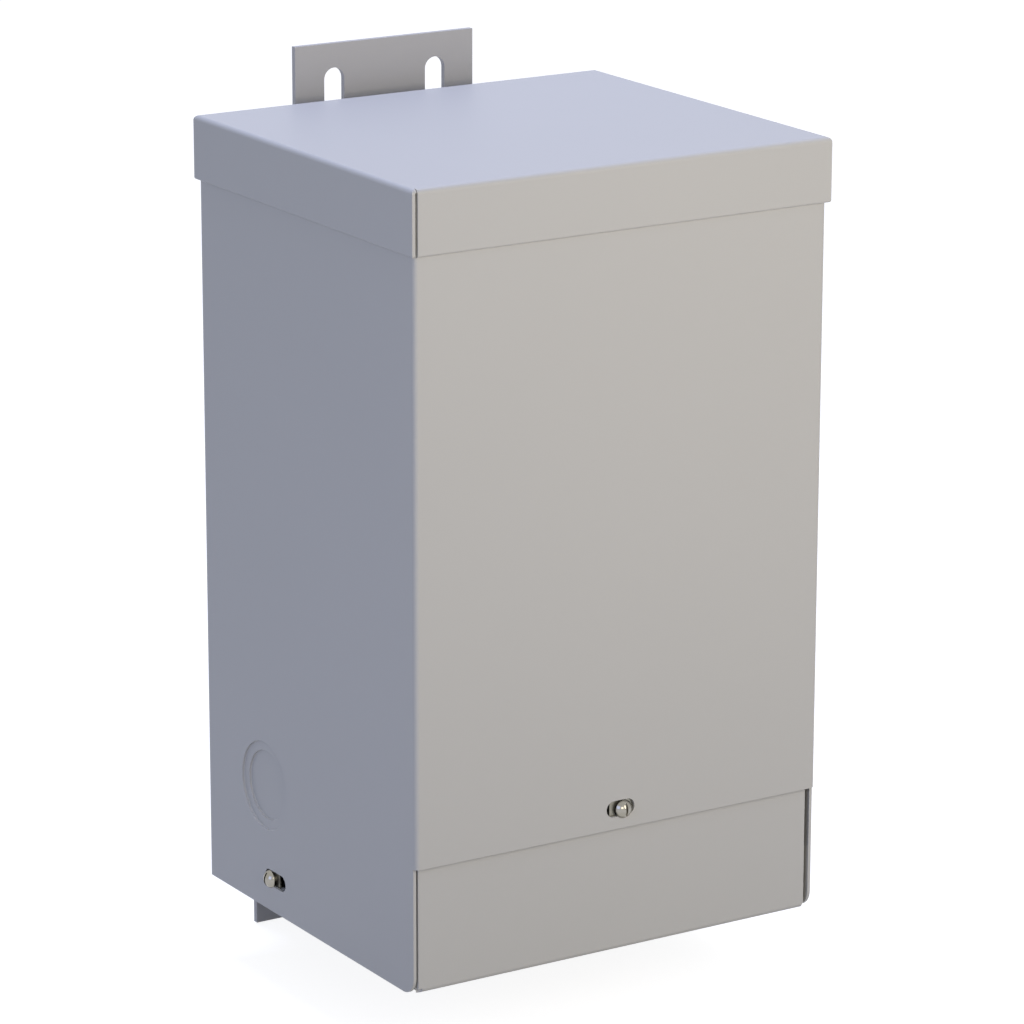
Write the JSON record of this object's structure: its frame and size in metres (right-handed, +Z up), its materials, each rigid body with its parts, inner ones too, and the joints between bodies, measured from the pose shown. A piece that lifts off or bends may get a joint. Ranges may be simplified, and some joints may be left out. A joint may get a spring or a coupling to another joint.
{
  "type": "dry-type transformer",
  "caption": "Wall-mounted encapsulated dry-type transformer in a ventless sheet-steel box, with a cap, knockouts, slotted wall brackets and a screwed pan under its wiring space.",
  "frame": {"origin": "on the wall plane, on the back face of the upper bracket, midway between the centres of its two slots", "axes": "+Z up along the box's height, +Y into the wall, -Y out of the front panel, +X to the right seen from the front"},
  "size_m": [0.2306, 0.2206, 0.4443],
  "materials": {
    "enclosure_paint": "semi-gloss grey paint on steel sheet",
    "bracket_paint": "semi-gloss grey paint on steel plate",
    "zinc_steel": "zinc plated",
    "inner_steel": "plain rolled steel",
    "core_steel": "stacked laminations with a dark coating",
    "winding_copper": "enamelled copper wire",
    "bobbin_plastic": "moulded glass-filled plastic",
    "insulation_paper": "impregnated paper",
    "potting_compound": "sand and resin",
    "bushing_rubber": "moulded rubber",
    "lead_black": "flexible insulation",
    "lead_slate": "flexible insulation",
    "ground_green": "green coated steel",
    "spring_steel": "dark phosphate"
  },
  "bodies": {
    "root": {"side_and_front_wrap": "enclosure_paint", "back_panel": "enclosure_paint", "top_cap": "enclosure_paint", "wiring_cover": "enclosure_paint", "upper_wall_bracket": "bracket_paint", "lower_wall_bracket": "bracket_paint", "cover_screws": "zinc_steel", "cover_nuts": "spring_steel", "back_panel_rivets": "zinc_steel", "barrier_plate": "inner_steel", "lead_bushings": "bushing_rubber", "core_laminations": "core_steel", "coil_bobbin": "bobbin_plastic", "secondary_winding": "winding_copper", "winding_barrier": "insulation_paper", "primary_winding": "winding_copper", "coil_wrap": "insulation_paper", "core_clamps": "inner_steel", "core_bolts": "zinc_steel", "core_nuts": "zinc_steel", "potting_block": "potting_compound", "lead_h1": "lead_black", "lead_h2": "lead_black", "lead_h3": "lead_black", "lead_h4": "lead_black", "lead_x1": "lead_slate", "lead_x2": "lead_slate", "lead_x3": "lead_slate", "lead_x4": "lead_slate", "lead_ends": "winding_copper", "ground_stud": "zinc_steel", "ground_washer": "zinc_steel", "ground_nut": "ground_green"}
  },
  "joints": []
}
